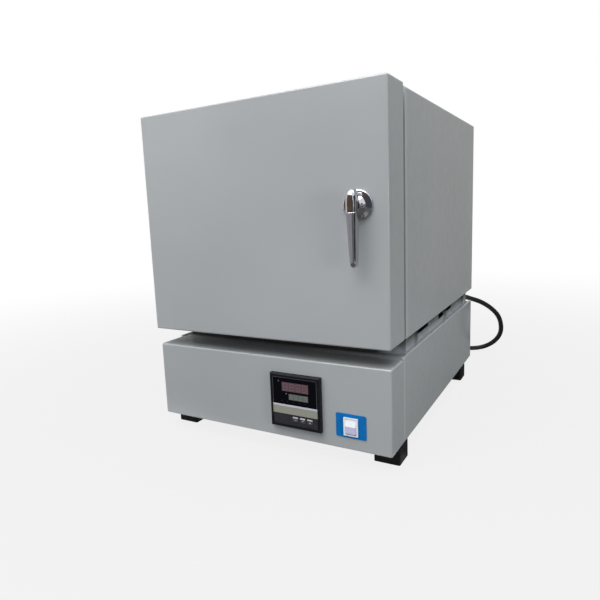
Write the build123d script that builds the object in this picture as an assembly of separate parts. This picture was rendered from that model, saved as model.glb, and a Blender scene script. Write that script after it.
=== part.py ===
from build123d import *
import math
import os

# A bench-top box furnace: an insulated heating body with a side-hung door stands on a low control
# base, with a shallow ventilated riser between the two. All lengths are in millimetres. The model is
# drawn with X to the right across the front, Y back from the door's face and Z up from the bench.

# Cabinet: the control base and the heating body are made to one width
cabinet_width = 472.0

# Sheet metal, seams and fits
sheet = 1.5
bend = 3.0
seam = 0.6
seat_gap = 0.3
run_gap = 0.06
grip_gap = 0.03

# Rubber feet
foot_width = 45.0
foot_length = 46.0
foot_height = 30.0
front_foot_set = 38.0
rear_foot_set = 69.0
foot_bolt_r = 3.0
foot_bolt_head_r = 6.0
foot_bolt_head = 5.0
foot_bolt_sink = 8.0
foot_bolt_offset = 11.0

# Control base
base_height = 145.0
base_depth = 632.0
base_setback = 8.0
pan_depth = 60.0
rim_rise = 3.0
rim_width = 5.0

# Ventilated riser between the base and the heating body
riser_height = 32.0
riser_recess = 8.0
riser_setback = 91.0
riser_length = 515.0
riser_flange = 12.0
fin_reach = 4.5
fin_places = (65.0, 283.0, 460.0)
vents = ((65.0, 156.0, 13.0), (236.0, 281.0, 16.5), (285.0, 353.0, 13.0))

# Heating body
body_height = 400.0
body_depth = 562.5
body_bend = 4.0
louvre_length = 90.0
louvre_height = 5.0
louvre_pitch = 14.0
louvre_count = 7
screw_head_r = 5.0
screw_head_proud = 2.5
screw_inset = 14.0
recess_share = 0.5

# Door
door_overhang = 1.5
door_height = 403.0
door_thickness = 70.5
door_gap = 14.0

# Heating chamber and its fibre lining
chamber_width = 200.0
chamber_height = 120.0
chamber_depth = 300.0
board = 30.0
mouth_depth = 25.0
mouth_rim = 60.0
pack_depth = 389.0
plug_gap = 6.0
plug_reach = 20.0
gasket_width = 12.0
gasket_inset = 8.0
hearth_thickness = 10.0
hearth_gap = 5.0

# Heating elements, thermocouple and their terminals
element_r = 2.5
element_passes = 6
element_pitch = 18.0
element_bend = 8.0
element_tail = 24.0
pocket_depth = 8.0
pocket_edge = 15.0
pocket_rim = 10.0
insulator_r = 7.0
insulator_length = 8.5
clamp_r = 6.0
clamp_length = 14.0
jumper_width = 14.0
jumper_thickness = 2.0
sheath_r = 4.0
sheath_reach = 26.0
sheath_drop = 20.0
sensor_flange_r = 15.0
sensor_flange = 4.0
sensor_head_r = 22.0
sensor_head = 30.0

# Door hinges
hinge_pin_r = 3.0
hinge_barrel_r = 5.5
hinge_height = 60.0
hinge_inset = 70.0
leaf_thickness = 2.5
leaf_reach = 38.0
barrel_gap = 0.5
hinge_screw_head_r = 4.0
hinge_screw_head = 1.8

# Door handle and latch
handle_inset = 47.5
handle_height = 221.0
rosette_r = 24.0
rosette_thickness = 4.0
neck_root_r = 18.0
neck_tip_r = 9.5
neck_length = 7.0
spindle_r = 5.0
spindle_reach = 9.0
sleeve_r = 8.0
cap_lip = 0.4
cap_lip_height = 0.9

# The lever's cross-sections from its tip to its head: height from the spindle, half width, distance
# of its front and of its back from the door, and the rounding of its corners
lever_sections = (
    (-91.0, 1.6, 25.2, 17.0, 1.3),
    (-90.5, 2.5, 26.4, 15.5, 2.1),
    (-89.5, 3.3, 27.5, 14.2, 2.8),
    (-87.0, 4.3, 28.6, 12.8, 3.6),
    (-80.0, 5.0, 29.4, 12.2, 4.2),
    (-45.0, 6.4, 31.9, 12.0, 4.9),
    (-10.7, 7.8, 34.4, 12.0, 5.4),
)
head_sections = (
    (-10.7, 7.8, 34.4, 12.0, 5.4),
    (6.0, 8.0, 34.8, 12.0, 5.6),
    (13.0, 7.6, 34.1, 12.0, 5.5),
    (17.5, 6.8, 32.9, 12.1, 5.2),
    (20.5, 5.7, 31.3, 12.6, 4.6),
    (22.5, 4.3, 29.3, 13.8, 3.6),
    (23.6, 2.9, 27.3, 15.4, 2.5),
    (24.0, 1.7, 25.4, 17.0, 1.5),
)
head_core = (-10.7, 12.0)
tongue_half = 6.0
tongue_length = 34.0
tongue_tail = 8.0
tongue_thickness = 6.0
tongue_clear = 1.0
tail_bolt_r = 4.0
slot_half = 9.0
slot_margin = 5.0
nut_r = 9.0
nut_length = 5.0

# Temperature controller, panel size 96 by 96
controller_inset = 168.0
controller_height = 70.3
bezel_size = 96.0
bezel_rim = 4.7
bezel_proud = 9.5
bezel_bevel = 1.6
face_sunk = 1.2
face_thickness = 3.0
case_size = 91.0
case_depth = 80.0
cutout_gap = 0.5
clamp_band = 6.0
lens_thickness = 0.5
lens_height = 49.0
band_height = 17.0
key_width = 11.0
key_height = 9.6
key_drop = 30.8
key_first = 0.5
key_pitch = 13.9
key_proud = 0.7
key_flange = 1.0

# Rocker switch on its coloured plate
switch_inset = 68.8
switch_height = 41.0
switch_width = 25.0
switch_tall = 31.0
switch_flange = 2.0
switch_body_width = 21.6
switch_body_tall = 28.6
switch_body_depth = 29.0
switch_plate_width = 53.0
switch_plate_tall = 41.0
switch_plate = 1.0
switch_plate_lift = 1.0
well_width = 19.2
well_tall = 27.2
well_depth = 15.0
rocker_half = 12.5
rocker_pivot_depth = 4.0
rocker_ridge = 8.6
rocker_shoulder = 6.9
rocker_tilt = 6.0
rocker_axle_r = 1.5

# Power parts inside the base
sink_width = 46.0
sink_length = 120.0
sink_height = 80.0
sink_web = 6.0
sink_fin = 3.0
sink_fins = 9
sink_y = 250.0
relay_depth = 24.0
relay_length = 58.0
relay_height = 45.0
relay_lift = 18.0
terminal_length = 90.0
terminal_width = 35.0
terminal_height = 30.0
terminal_offset = 161.0
terminal_inset = 80.0
terminal_poles = 4

# Mains lead: strain relief, cord, coil and plug
cord_r = 6.0
gland_nut_r = 7.2
gland_nut = 6.5
gland_r = 8.5
gland_neck_r = 6.5
gland_collar = 8.0
gland_taper = 14.0
gland_tip_r = 7.2
gland_rings = 3
gland_wall_gap = 0.2
gland_lift = 8.8
coil_x = 90.0
coil_y = 812.0
coil_mean_r = 61.0
coil_pitch = 14.5
coil_layer = 13.0
coil_layer_turns = 1.75
coil_climb_turns = 0.5
relief_length = 30.0
relief_tip_r = 7.2
relief_root_r = 10.0
relief_rings = 5
ring_depth = 0.6
plug_length = 46.0
plug_width = 40.0
plug_height = 30.0
plug_round = 5.0
pin_length = 18.0
pin_width = 6.3
pin_thickness = 1.6
pin_spread = 9.0

# Heights above the bench
base_z = foot_height
top_z = base_z + base_height
body_z = top_z + riser_height
body_top = body_z + body_height
door_top = body_z + door_height
chamber_z = body_z + body_height / 2 - chamber_height / 2
chamber_top = chamber_z + chamber_height
chamber_mid = chamber_z + chamber_height / 2

# Places along the depth
pan_end = base_setback + pan_depth
base_end = base_setback + base_depth
riser_y = base_setback + riser_setback
riser_end = riser_y + riser_length
body_y = door_thickness + door_gap
body_end = body_y + body_depth
mouth_y = body_y + sheet
lining_y = mouth_y + mouth_depth
lining_end = lining_y + chamber_depth
bulkhead_y = lining_y + pack_depth
bulkhead_end = bulkhead_y + sheet

# Half widths
base_half = cabinet_width / 2
body_half = cabinet_width / 2
body_in = body_half - sheet
door_half = body_half + door_overhang
riser_half = body_half - riser_recess
riser_in = riser_half - sheet
chamber_half = chamber_width / 2
lining_half = chamber_half + board

# Axes of the moving pieces
hinge_x = -(door_half + barrel_gap + hinge_barrel_r)
hinge_y = door_thickness + door_gap / 2
handle_x = door_half - handle_inset
controller_x = base_half - controller_inset
switch_x = base_half - switch_inset
terminal_x = terminal_offset - base_half
handle_z = body_z + handle_height
controller_z = base_z + controller_height
switch_z = base_z + switch_height
rocker_y = base_setback + rocker_pivot_depth

# The rosette, its neck and the lever stand in front of the door
neck_y = -(rosette_thickness + neck_length)
lever_y = neck_y - seat_gap
cap_y = -(max(section[2] for section in head_sections) + cap_lip)
tongue_y = mouth_y + tongue_clear

# The strain relief stands in the riser's back wall, close to its right-hand side
gland_x = riser_in - gland_nut_r - gland_wall_gap
gland_z = top_z + gland_lift
gland_end = riser_end + gland_collar + gland_taper

# The finished part's origin is the middle of its footprint, without the mains lead
origin_x = (door_half + hinge_x - hinge_barrel_r) / 2
origin_y = (body_end + screw_head_proud + cap_y) / 2


def block(x0, x1, y0, y1, z0, z1):
    """A box between two opposite corners."""
    middle = Pos((x0 + x1) / 2, (y0 + y1) / 2, (z0 + z1) / 2)
    return middle * Box(x1 - x0, y1 - y0, z1 - z0)


def slab(half, y0, y1, z0, z1):
    """A box that is centred across the width."""
    return block(-half, half, y0, y1, z0, z1)


def rod(x, z, y0, y1, radius):
    """A round bar along the depth."""
    return Pos(x, (y0 + y1) / 2, z) * Rot(90, 0, 0) * Cylinder(radius, y1 - y0)


def across(x0, x1, y, z, radius):
    """A round bar across the width."""
    return Pos((x0 + x1) / 2, y, z) * Rot(0, 90, 0) * Cylinder(radius, abs(x1 - x0))


def upright(x, y, z0, z1, radius):
    """A round bar that stands up."""
    return Pos(x, y, (z0 + z1) / 2) * Cylinder(radius, z1 - z0)


def turned(profile):
    """A piece turned about the depth axis, from its radii at places along the depth."""
    return revolve(make_face(Polyline(*profile, close=True)), Axis.Y)


def mirrored(solid):
    """A piece and its copy on the other side of the middle."""
    return [solid, mirror(solid, about=Plane.YZ)]


def group(solids):
    """Like pieces, kept as separate solids in one node."""
    return Compound([one for solid in solids for one in solid.solids()])


def front_rounded(solid, radius):
    """A pan's rolled edges: its corners along the depth, then the edges round its front face."""
    corners = fillet(solid.edges().filter_by(Axis.Y), radius)
    return fillet(corners.faces().sort_by(Axis.Y)[0].edges(), radius)


def corners_at(solid, z):
    """The edges along the depth at one height."""
    lengthwise = solid.edges().filter_by(Axis.Y)
    return [edge for edge in lengthwise if abs(edge.center().Z - z) < sheet / 4]


def screw_head(radius, height):
    """A pan head that stands on the ground plane, with a cross recess."""
    head = Pos(0, 0, height / 2) * Cylinder(radius, height)
    head = fillet(head.faces().sort_by(Axis.Z)[-1].edges(), height * 0.4)
    for turn in (0, 90):
        arm = Box(1.1 * radius, 0.25 * radius, 2 * recess_share * height)
        head -= Pos(0, 0, height) * Rot(0, 0, turn) * arm
    return head


def ribbed(root_r, tip_r, length, rings):
    """A tapered sleeve's profile along the depth, with shallow grooves round it."""
    step = length / (2 * rings + 1)
    profile = [(0, 0)]
    for n in range(2 * rings + 1):
        sunk = ring_depth if n % 2 else 0
        for y in (n * step, (n + 1) * step):
            profile.append((root_r + (tip_r - root_r) * y / length - sunk, y))
    return profile + [(0, length)]


# Rubber feet and their bolts


def foot_corners():
    """The low x and y corner of each foot."""
    front = base_setback + front_foot_set
    rear = base_end - rear_foot_set - foot_length
    return [(side, y) for y in (front, rear) for side in (-base_half, base_half - foot_width)]


def foot_bolt_place(corner):
    """Where a foot's bolt stands; it lies behind the foot's middle, clear of the base's seam."""
    x, y = corner
    return x + foot_width / 2, y + foot_length / 2 + foot_bolt_offset


def foot(corner):
    x, y = corner
    body = block(x, x + foot_width, y, y + foot_length, 0, foot_height)
    body = fillet(body.edges().filter_by(Axis.Z), bend)
    bolt_x, bolt_y = foot_bolt_place(corner)
    body -= upright(bolt_x, bolt_y, 0, foot_bolt_sink, foot_bolt_head_r + 1)
    return body - upright(bolt_x, bolt_y, 0, foot_height, foot_bolt_r + seat_gap)


def foot_bolt(corner):
    x, y = foot_bolt_place(corner)
    top = base_z + sheet
    bolt = upright(x, y, foot_bolt_sink - foot_bolt_head, foot_bolt_sink, foot_bolt_head_r)
    bolt += upright(x, y, foot_bolt_sink, top + foot_bolt_head, foot_bolt_r)
    return bolt + upright(x, y, top, top + foot_bolt_head, foot_bolt_head_r)


def foot_bolt_holes():
    places = [foot_bolt_place(corner) for corner in foot_corners()]
    return [upright(x, y, base_z - 1, base_z + sheet + 1, foot_bolt_r + seat_gap) for x, y in places]


# Control base


def controller_square(half, y0, y1):
    x0, x1 = controller_x - half, controller_x + half
    return block(x0, x1, y0, y1, controller_z - half, controller_z + half)


def switch_block(width, tall, y0, y1, z=switch_z):
    return block(switch_x - width / 2, switch_x + width / 2, y0, y1, z - tall / 2, z + tall / 2)


def base_front_pan():
    pan = front_rounded(slab(base_half, base_setback, pan_end, base_z, top_z), bend)
    y0 = base_setback + sheet
    pan -= slab(base_half - sheet, y0, pan_end, base_z + sheet, top_z - sheet)
    pan -= controller_square(case_size / 2 + cutout_gap, base_setback - 1, y0 + 1)
    width, tall = switch_body_width + 2 * seat_gap, switch_body_tall + 2 * seat_gap
    return pan - switch_block(width, tall, base_setback - 1, y0 + 1)


def base_wrap():
    """The base's floor and sides in one folded sheet, with a thicker rim that laps the top plate."""
    y0 = pan_end + seam
    top = top_z + rim_rise
    wrap = slab(base_half, y0, base_end, base_z, top)
    wrap = fillet(corners_at(wrap, base_z), bend)
    wrap -= slab(base_half - sheet, y0, base_end, base_z + sheet, top_z)
    wrap -= slab(base_half - rim_width, y0, base_end, top_z, top)
    wrap = fillet(corners_at(wrap, top), rim_rise / 2)
    return wrap - foot_bolt_holes()


def base_top_plate():
    plate = slab(base_half - sheet, pan_end + seam, base_end - sheet, top_z - sheet, top_z)
    middle = riser_y + riser_length / 2
    window = riser_length / 4
    return plate - slab(base_half / 2, middle - window, middle + window, top_z - sheet, top_z)


def base_rear_panel():
    y0 = base_end - sheet
    panel = slab(base_half - sheet, y0, base_end, base_z + sheet, top_z)
    slot_z = base_z + base_height / 2
    for side in (-1, 1):
        for row in range(-2, 3):
            centre = Pos(side * base_half / 2, y0, slot_z + row * louvre_pitch)
            panel -= centre * Box(louvre_length, 4 * sheet, louvre_height)
    return panel


# Riser


def riser_frame():
    """A low wall of sheet round the gap, flanged at top and foot, with vents and upright fins."""
    outer = slab(riser_half, riser_y, riser_end, top_z, body_z)
    inside = slab(riser_in, riser_y + sheet, riser_end - sheet, top_z + sheet, body_z - sheet)
    hole = slab(riser_half - riser_flange, riser_y + riser_flange, riser_end - riser_flange, top_z, body_z)
    frame = outer - inside - hole
    front_half = base_half - rim_width - seat_gap
    frame += slab(front_half, riser_y, riser_y + sheet, top_z, body_z)
    for start, end, drop in vents:
        y0, y1 = riser_y + start, riser_y + end
        frame -= slab(riser_half + 1, y0, y1, body_z - sheet - drop, body_z - sheet)
    for place in fin_places:
        y = riser_y + place
        for side in (-1, 1):
            root, tip = side * riser_in, side * (riser_half + fin_reach)
            frame += block(min(root, tip), max(root, tip), y, y + sheet, top_z + rim_rise, body_z)
    return frame - rod(gland_x, gland_z, riser_end - 2 * sheet, riser_end + 1, gland_neck_r + gland_wall_gap)


# Heating body


def body_shell():
    """Roof and sides of the heating body in one folded sheet."""
    shell = slab(body_half, body_y, body_end, body_z, body_top)
    shell = fillet(corners_at(shell, body_top), body_bend)
    return shell - slab(body_in, body_y, body_end, body_z, body_top - sheet)


def body_floor():
    return slab(body_in, body_y, body_end - sheet, body_z, body_z + sheet)


def body_front():
    """The front plate with the chamber's mouth and the slot that takes the latch tongue."""
    plate = slab(body_in, body_y, mouth_y, body_z + sheet, body_top - sheet)
    plate -= slab(chamber_half, body_y, mouth_y, chamber_z, chamber_top)
    low = handle_z - tongue_tail - slot_margin
    high = handle_z + tongue_length + slot_margin
    return plate - block(handle_x - slot_half, handle_x + slot_half, body_y, mouth_y, low, high)


def rear_cover():
    y0 = body_end - sheet
    cover = slab(body_in, y0, body_end, body_z + sheet, body_top - sheet)
    first = body_z + body_height * 0.7
    for side in (-1, 1):
        for row in range(louvre_count):
            centre = Pos(side * body_half / 2, y0, first + row * louvre_pitch)
            cover -= centre * Box(louvre_length, 4 * sheet, louvre_height)
    return cover


def rear_cover_screws():
    heads = []
    for side in (-1, 1):
        x = side * (body_in - screw_inset)
        for z in (body_z + screw_inset, body_z + body_height / 2, body_top - screw_inset):
            heads.append(Pos(x, body_end, z) * Rot(-90, 0, 0) * screw_head(screw_head_r, screw_head_proud))
    return heads


# Chamber lining


def mouth_ring():
    half = chamber_half + mouth_rim
    ring = slab(half, mouth_y, lining_y, chamber_z - mouth_rim, chamber_top + mouth_rim)
    return ring - slab(chamber_half, mouth_y, lining_y, chamber_z, chamber_top)


def side_board():
    """The right-hand board, with the shallow pocket that the heating element lies in."""
    slab_ = block(chamber_half, lining_half, lining_y, lining_end, chamber_z, chamber_top)
    y0, y1 = lining_y + pocket_edge, lining_end - pocket_edge
    floor = chamber_half + pocket_depth
    slab_ -= block(chamber_half, floor, y0, y1, chamber_z + pocket_rim, chamber_top - pocket_rim)
    for z in element_end_heights():
        slab_ -= rod(element_x(), z, y1 - 1, lining_end, element_r + seat_gap)
    return slab_


def lining_slab(z0):
    return slab(lining_half, lining_y, lining_end, z0, z0 + board)


def service_holes(y0, y1):
    """Holes for the element ends and the thermocouple, through one layer of the back."""
    holes = [rod(0, sensor_z(), y0, y1, sheath_r + seat_gap)]
    for z in element_end_heights():
        holes += [rod(side * element_x(), z, y0, y1, element_r + seat_gap) for side in (-1, 1)]
    return holes


def back_board():
    y1 = lining_end + board
    slab_ = slab(lining_half, lining_end, y1, chamber_z - board, chamber_top + board)
    return slab_ - service_holes(lining_end, y1)


def back_pack():
    y0 = lining_end + board
    pack = slab(lining_half, y0, bulkhead_y, chamber_z - board, chamber_top + board)
    return pack - service_holes(y0, bulkhead_y)


def side_pack():
    return block(lining_half, body_in, lining_y, bulkhead_y, chamber_z - board, chamber_top + board)


def body_insulation():
    """The loose fibre round the chamber: below, above, at both sides and behind."""
    lower = slab(body_in, lining_y, bulkhead_y, body_z + sheet, chamber_z - board)
    upper = slab(body_in, lining_y, bulkhead_y, chamber_top + board, body_top - sheet)
    return group([lower, upper, back_pack()] + mirrored(side_pack()))


def bulkhead():
    plate = slab(body_in, bulkhead_y, bulkhead_end, body_z + sheet, body_top - sheet)
    return plate - service_holes(bulkhead_y, bulkhead_end)


def hearth_plate():
    plate = slab(chamber_half - hearth_gap, lining_y + hearth_gap, lining_end - hearth_gap,
                 chamber_z, chamber_z + hearth_thickness)
    return fillet(plate.edges().filter_by(Axis.Z), bend)


# Heating elements and thermocouple


def element_x():
    """How far an element's plane lies from the middle: just off its pocket's floor."""
    return chamber_half + pocket_depth - seat_gap - element_r


def element_heights():
    top = chamber_mid + (element_passes - 1) / 2 * element_pitch
    return [top - n * element_pitch for n in range(element_passes)]


def element_end_heights():
    heights = element_heights()
    return [heights[0], heights[-1]]


def element():
    """One rod bent to and fro along the right-hand wall, both ends led out at the back."""
    front = lining_y + pocket_edge + 2 * element_r
    rear = lining_end - pocket_edge - 2 * element_r
    out = bulkhead_end + element_tail
    x = element_x()
    heights = element_heights()
    points = [(x, out, heights[0])]
    for n, z in enumerate(heights[:-1]):
        turn = front if n % 2 == 0 else rear
        points += [(x, turn, z), (x, turn, heights[n + 1])]
    points.append((x, out, heights[-1]))
    path = FilletPolyline(*points, radius=element_bend)
    return sweep(path=path, sections=Plane(origin=points[0], z_dir=(0, -1, 0)) * Circle(element_r))


def ringed(x, z, y0, y1, radius, bore):
    return rod(x, z, y0, y1, radius) - rod(x, z, y0, y1, bore)


def terminal_places():
    return [(side * element_x(), z) for side in (-1, 1) for z in element_end_heights()]


def element_insulators():
    end = bulkhead_end + insulator_length
    bore = element_r + seat_gap / 2
    return group([ringed(x, z, bulkhead_end, end, insulator_r, bore) for x, z in terminal_places()])


def element_jumper():
    y0 = bulkhead_end + insulator_length + clamp_length
    z = element_end_heights()[1]
    half = element_x() + clamp_r
    strip = slab(half, y0, y0 + jumper_thickness, z - jumper_width / 2, z + jumper_width / 2)
    for side in (-1, 1):
        strip -= rod(side * element_x(), z, y0, y0 + jumper_thickness, element_r + seat_gap)
    return strip


def element_terminals():
    """A clamp on each element end, and the strip that joins the elements' lower ends."""
    start = bulkhead_end + insulator_length
    bore = element_r + run_gap / 2
    clamps = [ringed(x, z, start, start + clamp_length, clamp_r, bore) for x, z in terminal_places()]
    return group(clamps + [element_jumper()])


def sensor_z():
    return chamber_top - sheath_drop


def thermocouple_sheath():
    start = lining_end - sheath_reach
    tube = rod(0, sensor_z(), start, bulkhead_end + sensor_flange, sheath_r)
    return fillet(tube.faces().sort_by(Axis.Y)[0].edges(), sheath_r * 0.8)


def thermocouple_head():
    y1 = bulkhead_end + sensor_flange
    head = ringed(0, sensor_z(), bulkhead_end, y1, sensor_flange_r, sheath_r + run_gap / 2)
    cup = rod(0, sensor_z(), y1, y1 + sensor_head, sensor_head_r)
    return head + fillet(cup.faces().sort_by(Axis.Y)[-1].edges(), bend)


# Door


def door_shell():
    shell = front_rounded(slab(door_half, 0, door_thickness, body_z, door_top), bend)
    shell -= slab(door_half - sheet, sheet, door_thickness, body_z + sheet, door_top - sheet)
    return shell - rod(handle_x, handle_z, -1, sheet + 1, spindle_r + seat_gap)


def door_back_plate():
    y0 = door_thickness - sheet
    plate = slab(door_half - sheet, y0, door_thickness, body_z + sheet, door_top - sheet)
    half, low, high = plug_edges()
    plate -= slab(half + seat_gap, y0, door_thickness, low - seat_gap, high + seat_gap)
    return plate - rod(handle_x, handle_z, y0, door_thickness, spindle_r + seat_gap)


def door_insulation():
    y1 = door_thickness - sheet
    pack = slab(door_half - sheet, sheet, y1, body_z + sheet, door_top - sheet)
    return pack - rod(handle_x, handle_z, sheet, y1, sleeve_r + seat_gap)


def plug_edges():
    return chamber_half - plug_gap, chamber_z + plug_gap, chamber_top - plug_gap


def door_plug():
    """The fibre block on the door's back that closes the chamber's mouth."""
    half, low, high = plug_edges()
    y1 = mouth_y + plug_reach
    plug = slab(half, door_thickness - sheet, y1, low, high)
    return chamfer(plug.faces().sort_by(Axis.Y)[-1].edges(), plug_gap / 2)


def door_gasket():
    """The rope seal round the mouth, held on the door's back."""
    y1 = body_y - seat_gap
    half, low, high = chamber_half + gasket_inset, chamber_z - gasket_inset, chamber_top + gasket_inset
    w = gasket_width
    ring = slab(half + w, door_thickness, y1, low - w, high + w)
    ring = fillet(ring.edges().filter_by(Axis.Y), w)
    ring -= slab(half, door_thickness, y1, low, high)
    return fillet(ring.faces().sort_by(Axis.Y)[-1].edges(), w / 4)


# Hinges


def hinge_feet():
    return [body_z + hinge_inset, body_z + door_height - hinge_inset - hinge_height]


def hinge_split(z):
    return z + hinge_height / 2


def hinge_leaf(side_x, z, on_door):
    """A flat leaf on the door's or the body's side and its half of the barrel."""
    low = hinge_split(z) + seat_gap / 2 if on_door else z
    high = z + hinge_height if on_door else hinge_split(z) - seat_gap / 2
    clear = hinge_barrel_r + seat_gap
    near = hinge_y - clear if on_door else hinge_y + clear
    far = near - leaf_reach if on_door else near + leaf_reach
    outer = side_x - leaf_thickness
    y0, y1 = min(near, far), max(near, far)
    leaf = block(outer, side_x, y0, y1, z, z + hinge_height)
    web_x = hinge_x + hinge_pin_r + 1
    leaf += block(web_x, side_x, min(near, hinge_y), max(near, hinge_y), low, high)
    leaf += upright(hinge_x, hinge_y, low, high, hinge_barrel_r)
    grip = run_gap if on_door else run_gap / 3
    return leaf - upright(hinge_x, hinge_y, z - 1, z + hinge_height + 1, hinge_pin_r + grip)


def hinge_halves(side_x, on_door):
    """Both hinges' leaves on one side, with their screws."""
    leaves = [hinge_leaf(side_x, z, on_door) for z in hinge_feet()]
    return group(leaves + hinge_screws(side_x, on_door))


def hinge_pins():
    pins = []
    for z in hinge_feet():
        pin = upright(hinge_x, hinge_y, z, z + hinge_height - 1, hinge_pin_r)
        pins.append(pin + upright(hinge_x, hinge_y, z - 2, z, hinge_pin_r + 1.5))
    return group(pins)


def hinge_screws(side_x, on_door):
    """Two pan-head screws for each leaf, tight on its outside."""
    step = hinge_barrel_r + seat_gap + leaf_reach / 2
    y = hinge_y - step if on_door else hinge_y + step
    outer = side_x - leaf_thickness
    screws = []
    for z in hinge_feet():
        for share in (0.25, 0.75):
            height = z + share * hinge_height
            head = screw_head(hinge_screw_head_r, hinge_screw_head)
            screws.append(Pos(outer, y, height) * Rot(0, -90, 0) * head)
    return screws


# Handle and latch


def handle_rosette():
    """The round plate on the door and the cone that carries the lever."""
    plate = rod(handle_x, handle_z, -rosette_thickness, 0, rosette_r)
    plate = fillet(plate.faces().sort_by(Axis.Y)[0].edges(), rosette_thickness / 2)
    profile = [(0, neck_y), (neck_tip_r, neck_y), (neck_root_r, -rosette_thickness), (0, -rosette_thickness)]
    plate += Pos(handle_x, 0, handle_z) * turned(profile)
    return plate - rod(handle_x, handle_z, neck_y - 1, 1, spindle_r + run_gap)


def lever_form(sections, grow=0.0):
    """A body through rounded cross-sections, evenly thicker by the given growth."""
    faces = []
    for height, half, front, back, corner in sections:
        place = Plane((handle_x, -(front + back) / 2, handle_z + height), x_dir=(1, 0, 0), z_dir=(0, 0, 1))
        faces.append(place * RectangleRounded(2 * (half + grow), front - back + 2 * grow, corner + grow))
    return loft(faces, ruled=True)


def head_core_form(grow=0.0):
    """The lever's plain upper end, which the cap covers."""
    height, half, front, back, corner = lever_sections[-1]
    inset = 1.2 - grow
    place = Plane((handle_x, -(front + back) / 2, handle_z + head_core[0]), x_dir=(1, 0, 0), z_dir=(0, 0, 1))
    outline = RectangleRounded(2 * (half - inset), front - back - 2 * inset, corner - inset)
    return extrude(place * outline, head_core[1] - head_core[0] + grow)


def lever_blade():
    """The hanging lever; its front slopes back and its sides draw in towards a round tip."""
    body = lever_form(lever_sections) + head_core_form()
    back = -(lever_sections[-1][3] + 1.5)
    body += rod(handle_x, handle_z, back, lever_y, spindle_r + 1)
    return body - rod(handle_x, handle_z, lever_y - spindle_reach, lever_y, spindle_r + grip_gap)


def lever_cap():
    """The bright cover over the lever's head, with a lip round its lower edge."""
    cap = lever_form(head_sections)
    height, half, front, back, corner = head_sections[0]
    place = Plane((handle_x, -(front + back) / 2, handle_z + height), x_dir=(1, 0, 0), z_dir=(0, 0, 1))
    lip = RectangleRounded(2 * (half + cap_lip), front - back + 2 * cap_lip, corner + cap_lip)
    cap += extrude(place * lip, cap_lip_height)
    cap -= head_core_form(grip_gap)
    return cap - rod(handle_x, handle_z, -front / 2 - back / 2, lever_y, spindle_r + 1 + grip_gap)


def spindle():
    """The shaft from the lever to the latch tongue, with the collar that keeps it in the door."""
    start = lever_y - spindle_reach
    end = tongue_y + tongue_thickness + nut_length + 1
    shaft = rod(handle_x, handle_z, start, tongue_y, spindle_r)
    shaft += rod(handle_x, handle_z, tongue_y, end, tail_bolt_r)
    collar_y = door_thickness + seat_gap
    shaft += rod(handle_x, handle_z, collar_y, collar_y + 3, sleeve_r)
    return shaft


def latch_sleeve():
    return ringed(handle_x, handle_z, sheet, door_thickness - sheet, sleeve_r, spindle_r + run_gap)


def latch_tongue():
    """The flat tongue behind the front plate; upright it passes the slot, crosswise it holds."""
    y0, y1 = tongue_y, tongue_y + tongue_thickness
    low, high = handle_z - tongue_tail, handle_z + tongue_length
    tongue = block(handle_x - tongue_half, handle_x + tongue_half, y0, y1, low, high)
    tongue = fillet(tongue.edges().filter_by(Axis.Y), tongue_half * 0.6)
    return tongue - rod(handle_x, handle_z, y0, y1, tail_bolt_r + grip_gap)


def latch_nut():
    y0 = tongue_y + tongue_thickness
    hexagon = Plane.XZ * RegularPolygon(nut_r, 6)
    nut = Pos(handle_x, y0, handle_z) * extrude(hexagon, -nut_length)
    return nut - rod(handle_x, handle_z, y0, y0 + nut_length, tail_bolt_r + grip_gap)


# Temperature controller


def face_y():
    return base_setback - bezel_proud + face_sunk


def controller_bezel():
    front = base_setback - bezel_proud
    ring = controller_square(bezel_size / 2, front, base_setback)
    ring = chamfer(ring.faces().sort_by(Axis.Y)[0].edges(), bezel_bevel)
    return ring - controller_square(bezel_size / 2 - bezel_rim, front, base_setback)


def controller_face():
    half = bezel_size / 2 - bezel_rim - seat_gap
    plate = controller_square(half, face_y(), face_y() + face_thickness)
    for n in range(3):
        plate -= key_block(n, seat_gap, face_y() - 1, face_y() + face_thickness + 1)
    return plate


def key_block(n, grow, y0, y1):
    x = controller_x + key_first + n * key_pitch
    z = controller_z - key_drop
    half_width, half_height = key_width / 2 + grow, key_height / 2 + grow
    return block(x - half_width, x + half_width, y0, y1, z - half_height, z + half_height)


def controller_key(n):
    """A sprung key: its cap stands through the face and a flange behind keeps it in."""
    back = face_y() + face_thickness + seat_gap / 3
    cap = key_block(n, 0, face_y() - key_proud, back)
    cap = fillet(cap.faces().sort_by(Axis.Y)[0].edges(), key_proud / 3)
    return cap + key_block(n, 3 * seat_gap, back, back + key_flange)


def controller_lens():
    half = bezel_size / 2 - bezel_rim - seat_gap
    top = controller_z + half
    x0, x1 = controller_x - half, controller_x + half
    return block(x0, x1, face_y() - lens_thickness, face_y(), top - lens_height, top)


def controller_band():
    half = bezel_size / 2 - bezel_rim - seat_gap
    top = controller_z + half - lens_height
    x0, x1 = controller_x - half, controller_x + half
    return block(x0, x1, face_y() - lens_thickness, face_y(), top - band_height, top)


def controller_case():
    front = face_y() + face_thickness
    half = bezel_size / 2 - bezel_rim - seat_gap
    case = controller_square(half, front, base_setback)
    case += controller_square(case_size / 2, base_setback, base_setback + case_depth)
    key_room = 4.0
    return case - controller_square(half - key_room, front, front + key_room)


def controller_clamp():
    """The frame that slides over the case and grips the panel from behind."""
    y0 = base_setback + sheet
    ring = controller_square(case_size / 2 + clamp_band, y0, y0 + clamp_band)
    return ring - controller_square(case_size / 2 + seat_gap, y0, y0 + clamp_band)


# Rocker switch


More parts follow.
